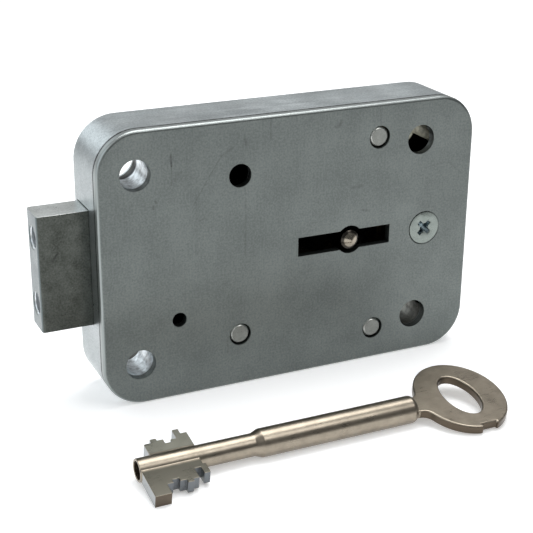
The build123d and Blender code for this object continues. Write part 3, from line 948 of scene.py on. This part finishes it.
COVER_MARKS = (
    Mark((-28.1, 26.7), (-28.0, 24.2), 0.34, 0.85),
    Mark((-28.0, 24.2), (-28.0, 19.6), 0.2, 0.45),
    Mark((-22.7, 14.6), (-18.3, 21.6), 0.22, 0.35),
    Mark((-18.3, 21.6), (-15.9, 25.1), 0.22, 0.35),
    Mark((-15.9, 25.1), (-13.2, 26.6), 0.5, 0.3),
    Mark((-31.9, 16.4), (-31.8, 16.1), 0.4, 0.6),
    Mark((-32.4, 15.4), (-32.5, 14.7), 0.35, 0.6),
    Mark((-27.2, 20.8), (-27.2, 20.8), 0.7, 0.3),
    Mark((-25.6, 22.5), (-26.5, 21.9), 0.3, 0.3),
    Mark((-10.0, 28.2), (-10.0, 27.0), 0.7, 0.4),
    Mark((-10.1, 20.0), (-10.0, 0.0), 0.3, 0.25),
    Mark((-22.2, 17.9), (-22.1, 2.0), 0.5, 0.12),
    Mark((-21.5, 10.3), (-20.6, 10.7), 0.25, 0.35),
    Mark((-20.6, 10.7), (-19.5, 10.5), 0.25, 0.35),
    Mark((-3.7, 32.4), (-3.7, 27.7), 0.22, 0.45),
    Mark((2.6, 32.5), (2.9, 31.1), 0.25, 0.5),
    Mark((14.4, 29.8), (14.0, 28.9), 0.7, 0.4),
    Mark((12.9, 28.6), (13.4, 28.7), 0.5, 0.3),
    Mark((24.8, 32.3), (25.1, 27.9), 0.22, 0.35),
    Mark((18.0, 13.2), (20.6, 13.3), 0.7, 0.35),
    Mark((20.8, 7.1), (22.8, 6.7), 0.5, 0.35),
    Mark((38.0, 15.6), (44.3, 16.6), 0.22, 0.2),
    Mark((44.3, 16.6), (48.6, 13.2), 0.22, 0.25),
    Mark((-14.6, -20.3), (-14.6, -24.0), 0.3, 0.25),
)
# Painted light and shade for the fixing holes: bright walls where light falls, darker walls and far ends that
# lie in shade.
PAINTED_LIT_BORE = (0.85, 0.9, 0.93)
PAINTED_SHADED_BORE_END = (0.035, 0.038, 0.042)
PAINTED_OLIVE_BORE_SHADE = (0.27, 0.26, 0.2)
PAINTED_GREY_BORE_SHADE = (0.22, 0.22, 0.2)

CASE_ZINC = BoredZinc(
    "case_zinc", (0.62, 0.66, 0.67), (0.41, 0.45, 0.46),
    roughness=0.36, spread=0.09, brush=Brush.ALONG, blotch=9.0, relief=5.0, pitting=0.6, specks=0.9,
    bores=(
        (-36.5, 23.0, PAINTED_LIT_BORE, PAINTED_SHADED_BORE_END),
        (-36.5, -23.0, PAINTED_LIT_BORE, PAINTED_LIT_BORE),
        (36.5, 23.0, PAINTED_OLIVE_BORE_SHADE, PAINTED_OLIVE_BORE_SHADE),
        (36.5, -23.0, PAINTED_GREY_BORE_SHADE, PAINTED_GREY_BORE_SHADE),
    ),
)
COVER_ZINC = ScratchedZinc(
    "cover_zinc", (0.177, 0.195, 0.188), (0.13, 0.145, 0.14),
    roughness=0.42, brush=Brush.UPRIGHT, blotch=10.0, relief=3.0, pitting=0.4, specks=1.0, marks=COVER_MARKS,
)
SCREW_ZINC = RecessedZinc(
    "screw_zinc", (0.25, 0.28, 0.262), (0.195, 0.22, 0.205),
    roughness=0.28, blotch=2.0, relief=2.0, pitting=0.3,
)
PIN_STEEL = ChamferedSteel(
    "pin_steel", (0.235, 0.243, 0.228), (0.165, 0.171, 0.16),
    roughness=0.32, blotch=2.0, relief=3.0, specks=0.4,
)
POST_STEEL = TurnedSteel(
    "post_steel", (0.38, 0.34, 0.275), (0.26, 0.232, 0.19),
    roughness=0.22, spread=0.04, blotch=2.0, relief=0.3,
)
BOLT_STEEL = PaintedLightSteel(
    "bolt_steel", (0.094, 0.101, 0.092), (0.046, 0.05, 0.044),
    roughness=0.32, spread=0.07, blotch=3.0, pitting=0.4, specks=0.6,
    marks=(Mark((-53.0, 5.0), (-54.2, 3.3), 0.4, 0.9), Mark((-51.9, 12.6), (-51.7, 11.2), 0.3, 0.5)),
)
# Brass darkened with painted shade, as the levers are seen in shade through the keyhole.
LEVER_BRASS_IN_SHADE = MetalFinish(
    "lever_brass", (0.12, 0.095, 0.05), (0.07, 0.055, 0.03),
    roughness=0.38, spread=0.08, brush=Brush.ALONG, blotch=4.0, relief=3.0, pitting=0.4,
)
SPRING_STEEL = MetalFinish(
    "spring_steel", (0.4, 0.41, 0.43), (0.25, 0.26, 0.28),
    roughness=0.3, spread=0.05, brush=Brush.ALONG, blotch=3.0, relief=1.0, pitting=0.3,
)
KEY_NICKEL = CutNickel(
    "key_nickel", (0.36, 0.315, 0.252), (0.245, 0.213, 0.17),
    roughness=0.31, spread=0.05, brush=Brush.ALONG, blotch=3.0, relief=0.8, pitting=0.16, grain=0.3,
)

NODE_FINISHES: dict[str, MetalFinish] = {
    "case": CASE_ZINC,
    "cover_plate": COVER_ZINC,
    "cover_screw": SCREW_ZINC,
    "key_post": POST_STEEL,
    "upper_lever_pin": PIN_STEEL,
    "lower_lever_pin": PIN_STEEL,
    "bolt_guide_pin": PIN_STEEL,
    "upper_lever_spacers": PIN_STEEL,
    "lower_lever_spacers": PIN_STEEL,
    "bolt": BOLT_STEEL,
    "bolt_stump": PIN_STEEL,
    "key_blade": KEY_NICKEL,
    "key_bow": KEY_NICKEL,
    **{f"lever_{n}": LEVER_BRASS_IN_SHADE for n in range(1, 8)},
    **{f"lever_spring_{n}": SPRING_STEEL for n in range(1, 8)},
}


def body_of_node(node: str) -> str:
    """The CAD body that a node rides on."""
    return frame["nodes"][node]["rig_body"]


def dress(piece: Piece, finish: MetalFinish) -> None:
    """Give a piece one finish."""
    piece.data.materials.clear()
    piece.data.materials.append(finish.material())


@dataclass
class SubAssembly:
    """Pieces of the lock that are built and reported together.

    Attributes:
        made: The pieces that it has made.
    """

    made: list[Piece] = field(default_factory=list)

    def keep(self, piece: Piece, node: str, replaces: bool = True) -> None:
        """Let a finished piece ride on a node's body and take that node's finish.

        Args:
            piece: The piece.
            node: The CAD node that it belongs to.
            replaces: Whether the node is hidden behind it.
        """
        dress(piece, NODE_FINISHES[node])
        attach(piece, body_of_node(node))
        if replaces:
            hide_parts(node)
        self.made.append(piece)

    def refine(self, node: str, edge: float, segments: int = 2, sharp: float = CAD_SHARP_ANGLE) -> None:
        """Replace a CAD node by its refined copy."""
        self.keep(refined_copy(node, edge, segments, sharp), node)

    def build(self) -> None:
        """Make the pieces."""
        raise NotImplementedError


@dataclass
class CaseAssembly(SubAssembly):
    """The case with its cover and its three pins.

    Attributes:
        case_edge: Rounding of the case's edges, in millimetres.
        cover_edge: Rounding of the edges of the cover's holes.
        pin_edge: Rounding of the pins' edges.
    """

    case_edge: float = 0.15
    cover_edge: float = 0.12
    pin_edge: float = 0.08

    def build(self) -> None:
        """Make the pieces."""
        self.refine("case", self.case_edge)
        self.refine("cover_plate", self.cover_edge)
        for node in ("upper_lever_pin", "lower_lever_pin", "bolt_guide_pin"):
            self.refine(node, self.pin_edge)


@dataclass
class KeyPost(SubAssembly):
    """The round post that the key's bore slides over, with its turned point.

    Attributes:
        point_length: Length of the pointed cone, in millimetres.
        tip_radius: Radius of the cone's tip.
        edge: Rounding of the edges.
    """

    point_length: float = 1.2
    tip_radius: float = 0.1
    edge: float = 0.06

    def build(self) -> None:
        """Make the post."""
        low, high = corners_of("key_post")
        middle = (low + high) / 2
        ends = {"radius1": (high.x - low.x) / 2, "radius2": self.tip_radius}
        post = add_primitive("cone", vertices=ROUND_SIDES, depth=self.point_length, **ends)
        post.name = post.data.name = "key_post_finished"
        place_piece(post, (middle.x, low.y + self.point_length / 2, middle.z), (math.pi / 2, 0, 0))
        with shaping(post, BACK):
            extrude(y=high.y - low.y - self.point_length)
        round_edges(post, self.edge)
        self.keep(post, "key_post")


@dataclass
class CoverScrew(SubAssembly):
    """The countersunk cover screw with its tapered cross recess.

    Attributes:
        rim: Depth of the head's straight rim, in millimetres.
        head_depth: Depth where the head's cone meets the shank.
        shank_radius: Radius of the shank.
        slot_length: Length of a slot of the recess at the face.
        slot_width: Width of a slot at the face.
        slot_depth: Depth of the recess.
        slot_turns: Turn of each slot about the screw's axis, in degrees.
        slot_ends: Share of a slot's length and width that is left at its bottom.
        heart_radius: Radius of the recess's middle at the face.
        heart_sides: Number of its sides.
        edge: Rounding of the edges.
    """

    rim: float = 0.15
    head_depth: float = 1.9
    shank_radius: float = 2.0
    slot_length: float = 4.4
    slot_width: float = 1.15
    slot_depth: float = 1.6
    slot_turns: tuple[float, float] = (45.0, -45.0)
    slot_ends: tuple[float, float] = (0.42, 0.65)
    heart_radius: float = 1.25
    heart_sides: int = 8
    edge: float = 0.1

    def build(self) -> None:
        """Make the screw."""
        low, high = corners_of("cover_screw")
        middle = (low + high) / 2
        screw = self.blank((high.x - low.x) / 2, high.y - low.y)
        for degrees in self.slot_turns:
            cut_away(screw, self.slot(degrees))
        cut_away(screw, self.heart())
        place_piece(screw, (middle.x, low.y, middle.z))
        join_flats(screw, CUT_CORNER)
        round_edges(screw, self.edge)
        self.keep(screw, "cover_screw")

    def blank(self, radius: float, length: float) -> Piece:
        """Make the screw without its recess, with the middle of its face at the origin.

        Args:
            radius: Radius of the head.
            length: Length over all.

        Returns:
            The blank.
        """
        blank = add_primitive("cylinder", vertices=ROUND_SIDES, radius=radius, depth=self.rim)
        blank.name = blank.data.name = "cover_screw_finished"
        place_piece(blank, (0, self.rim / 2, 0), (math.pi / 2, 0, 0))
        with shaping(blank, BACK):
            extrude(y=self.head_depth - self.rim)
            taper = self.shank_radius / radius
            scale_faces(taper, 1, taper)
            extrude(y=length - self.head_depth)
        return blank

    def slot(self, degrees: float) -> Piece:
        """Make the cutter of one slot.

        Args:
            degrees: The slot's turn about the screw's axis.

        Returns:
            The cutter.
        """
        cutter = add_primitive("cube", size=1.0)
        size = (self.slot_length, self.slot_depth, self.slot_width)
        place_piece(cutter, (0, self.slot_depth / 2, 0), scale=size)
        length_left, width_left = self.slot_ends
        with shaping(cutter, BACK):
            scale_faces(length_left, 1, width_left)
        with shaping(cutter, FRONT):
            extrude(y=-self.rim)
        place_piece(cutter, (0, 0, 0), (0, math.radians(degrees), 0))
        return cutter

    def heart(self) -> Piece:
        """Make the cutter of the recess's middle."""
        ends = {"radius1": self.heart_radius, "radius2": self.heart_radius / 2}
        cutter = add_primitive("cone", vertices=self.heart_sides, depth=self.slot_depth + self.rim, **ends)
        place_piece(cutter, (0, self.slot_depth / 2, 0), (-math.pi / 2, 0, 0))
        return cutter


@dataclass
class BoltAssembly(SubAssembly):
    """The bolt with its tapped holes and its stump.

    Attributes:
        edge: Rounding of the bolt's edges, in millimetres.
        stump_edge: Rounding of the stump's edges.
    """

    edge: float = 0.15
    stump_edge: float = 0.1

    def build(self) -> None:
        """Make the pieces."""
        self.refine("bolt", self.edge)
        self.refine("bolt_stump", self.stump_edge)


@dataclass
class KeyAssembly(SubAssembly):
    """The loose key.

    Attributes:
        blade_edge: Rounding of the edges of the blade and its bits, in millimetres.
        blade_sharp: Angle from which they are rounded, in degrees.
        bow_edge: Rounding of the bow's edges.
        bow_segments: Faces across it.
        shank_radius: Radius of the shank that holds the bow's tang.
        shank_sides: Number of sides of the filling's round surface.
        nose: Rounding of the shank's end.
        nose_arc: How far round that rounding goes, in degrees.
        nose_steps: Steps in which it is made.
        tang_length: Length of the tang in the shank.
        tang_half_width: Half the tang's width.
        tang_thickness: Thickness of the filling, which covers the slot's rounded edges.
        overlap: How far the filling covers the slot's rounded end edge.
    """

    blade_edge: float = 0.12
    blade_sharp: float = 18.5
    bow_edge: float = 0.4
    bow_segments: int = 3
    shank_radius: float = 3.215
    shank_sides: int = 96
    nose: float = 1.4
    nose_arc: float = 80.0
    nose_steps: int = 6
    tang_length: float = 4.0
    tang_half_width: float = 2.72
    tang_thickness: float = 2.5
    overlap: float = 0.16

    def build(self) -> None:
        """Make the pieces."""
        self.refine("key_blade", self.blade_edge, sharp=self.blade_sharp)
        self.refine("key_bow", self.bow_edge, segments=self.bow_segments)
        cheeks = [self.tang_cheek(side) for side in (1, -1)]
        select_only(cheeks[0])
        cheeks[1].select_set(True)
        bpy.ops.object.join()
        filling = bpy.context.view_layer.objects.active
        filling.name = filling.data.name = "key_tang_filling"
        middle_y, middle_z = KEY_NICKEL.axis
        place_piece(filling, (0, middle_y, middle_z), (math.radians(KEY_NICKEL.tilt), 0, 0))
        scale_to_metres(filling)
        smooth_by_angle(filling, SHARP_ANGLE)
        self.keep(filling, "key_bow", replaces=False)

    def tang_cheek(self, side: int) -> Piece:
        """Make the filling between one side of the bow's tang and the shank's surface.

        Args:
            side: 1 for the side away from the camera, or -1 for the near side.

        Returns:
            The filling, on an axis through the origin.
        """
        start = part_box("key_bow")[0][0] / MM - self.overlap
        straight = self.tang_length - self.nose + self.overlap
        shape = {"vertices": self.shank_sides, "radius": self.shank_radius, "depth": straight}
        cheek = add_primitive("cylinder", **shape)
        place_piece(cheek, (start + straight / 2, 0, 0), (0, math.pi / 2, 0))
        half = self.tang_thickness / 2
        with shaping(cheek, RIGHT):
            self.round_nose()
            for point, normal in (
                ((0, 0, half), (0, 0, 1)),
                ((0, 0, -half), (0, 0, -1)),
                ((0, side * self.tang_half_width, 0), (0, -side, 0)),
            ):
                bpy.ops.mesh.select_all(action="SELECT")
                bpy.ops.mesh.bisect(plane_co=point, plane_no=normal, use_fill=True, clear_outer=True)
        return cheek

    def round_nose(self) -> None:
        """Draw the selected end face out into the shank's rounded end."""
        radius, reached = self.shank_radius, 0.0
        for step in range(1, self.nose_steps + 1):
            angle = math.radians(self.nose_arc) * step / self.nose_steps
            further = self.nose * math.sin(angle)
            smaller = self.shank_radius - self.nose * (1 - math.cos(angle))
            extrude(x=further - reached)
            scale_faces(1, smaller / radius, smaller / radius)
            radius, reached = smaller, further


@dataclass
class LeverPack(SubAssembly):
    """Levers, springs and spacers, whose CAD shapes stay as they are."""

    def build(self) -> None:
        """Dress the nodes."""
        for node, piece in frame["nodes"].items():
            if node.startswith("lever_") or node.endswith("_spacers"):
                dress(piece, NODE_FINISHES[node])
                self.made.append(piece)


@dataclass(frozen=True)
class SoftLight:
    """A square studio light that points at the lock.

    Attributes:
        name: The light's name.
        place: Where it stands, in millimetres.
        size: Its side, in millimetres.
        watts: Its power.
        colour: Its colour.
    """

    name: str
    place: Point
    size: float
    watts: float
    colour: Colour = WHITE


@dataclass
class Studio:
    """Floor, lights and camera.

    Attributes:
        floor_height: Z of the floor, in millimetres.
        floor_size: Its side, in metres.
        floor_tones: The two colours of its faint blotches.
        floor_glow: How strongly it is lit from below.
        camera_place: Where the camera stands, in millimetres.
        azimuth: Turn of the view from +Y towards +X, in degrees.
        elevation: How far the view looks down, in degrees.
        roll: Turn about the line of sight, in degrees.
        lens: Focal length, in millimetres.
        sensor: Width of the camera's sensor, in millimetres.
        clip: Nearest and furthest distance that it sees, in metres.
        lights: The soft lights.
        dimmest: Strength of the surroundings in front of the lock.
        brightest: Strength of the surroundings behind it.
        surroundings: Their colour.
        behind: Direction in which they are brightest.
        turning: Cosine from that direction at which they are brightest, and from its opposite dimmest.
    """

    floor_height: float = -33.1
    floor_size: float = 12.0
    floor_tones: tuple[Colour, Colour] = ((0.88, 0.885, 0.89), (0.9, 0.9, 0.9))
    floor_glow: float = 0.35
    camera_place: Point = (-121.66, -251.17, 106.70)
    azimuth: float = 24.997
    elevation: float = 21.689
    roll: float = 0.4358
    lens: float = 85.0
    sensor: float = 36.0
    clip: tuple[float, float] = (0.01, 50.0)
    lights: tuple[SoftLight, ...] = (
        SoftLight("left_light", (-520.0, -60.0, 230.0), 420.0, 0.75, (0.86, 0.94, 1.0)),
        SoftLight("top_light", (110.0, 120.0, 620.0), 500.0, 3.8),
        SoftLight("back_light", (-300.0, 560.0, 300.0), 420.0, 0.55, (0.9, 0.96, 1.0)),
        SoftLight("rim_light", (-430.0, -390.0, 440.0), 160.0, 0.3),
        SoftLight("key_light", (220.0, -380.0, 540.0), 260.0, 0.8),
    )
    dimmest: float = 0.105
    brightest: float = 0.42
    surroundings: Colour = (0.97, 0.99, 1.0)
    behind: Point = (-0.5, 0.75, 0.35)
    turning: float = 0.9

    def build(self) -> None:
        """Make the floor, the world, the lights and the camera."""
        self.build_floor()
        self.build_world()
        for light in self.lights:
            self.build_light(light)
        self.build_camera()

    def build_floor(self) -> None:
        """Make a wide plain pale floor."""
        floor = add_primitive("plane", size=self.floor_size, location=(0, 0, self.floor_height * MM))
        floor.name = "floor"
        graph = NodeGraph("pale_floor")
        graph.set_shader(
            Base_Color=graph.mix(graph.span(graph.noise(Field.FLOOR), 0.3, 0.7), *self.floor_tones),
            Roughness=0.9,
            Emission_Color=WHITE,
            Emission_Strength=self.floor_glow,
            Specular_IOR_Level=0.1,
        )
        floor.data.materials.append(graph.material)

    def build_world(self) -> None:
        """Make surroundings that are darker in front of the lock than behind it."""
        world = bpy.data.worlds.new("studio_surroundings")
        bpy.context.scene.world = world
        bpy.context.scene.view_settings.view_transform = "Standard"
        world.use_nodes = True
        tree = world.node_tree
        background = tree.nodes["Background"]
        background.inputs["Color"].default_value = (*self.surroundings, 1.0)
        coordinates = tree.nodes.new("ShaderNodeTexCoord")
        direction = tree.nodes.new("ShaderNodeVectorMath")
        direction.operation = "DOT_PRODUCT"
        direction.inputs[1].default_value = self.behind
        ramp = tree.nodes.new("ShaderNodeMapRange")
        limits = (-self.turning, self.turning, self.dimmest, self.brightest)
        for name, limit in zip(("From Min", "From Max", "To Min", "To Max"), limits):
            ramp.inputs[name].default_value = limit
        tree.links.new(coordinates.outputs["Generated"], direction.inputs[0])
        tree.links.new(direction.outputs["Value"], ramp.inputs["Value"])
        tree.links.new(ramp.outputs["Result"], background.inputs["Strength"])

    def build_light(self, light: SoftLight) -> None:
        """Make one soft light.

        Args:
            light: Its place, size and power.
        """
        data = bpy.data.lights.new(light.name, "AREA")
        data.shape = "SQUARE"
        data.size = light.size * MM
        data.energy = light.watts
        data.color = light.colour
        lamp = bpy.data.objects.new(light.name, data)
        lamp.location = Vector(light.place) * MM
        lamp.rotation_euler = (-lamp.location).to_track_quat("-Z", "Y").to_euler()
        lamp.visible_camera = False
        bpy.context.scene.collection.objects.link(lamp)

    def build_camera(self) -> None:
        """Make the camera at the photograph's viewing angle."""
        data = bpy.data.cameras.new("camera")
        data.lens = self.lens
        data.sensor_width = self.sensor
        data.clip_start, data.clip_end = self.clip
        camera = bpy.data.objects.new("camera", data)
        placed = Matrix.Translation(Vector(self.camera_place) * MM)
        for degrees, axis in ((-self.azimuth, "Z"), (-self.elevation, "X"), (-self.roll, "Y"), (90, "X")):
            placed @= Matrix.Rotation(math.radians(degrees), 4, axis)
        camera.matrix_world = placed
        bpy.context.scene.collection.objects.link(camera)
        bpy.context.scene.camera = camera


def main() -> None:
    """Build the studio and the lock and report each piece."""
    Studio().build()
    for assembly in (CaseAssembly(), KeyPost(), CoverScrew(), BoltAssembly(), LeverPack(), KeyAssembly()):
        assembly.build()
        for piece in assembly.made:
            log.info("%s: %d faces", piece.name, len(piece.data.polygons))


if __name__ == "__main__":
    main()
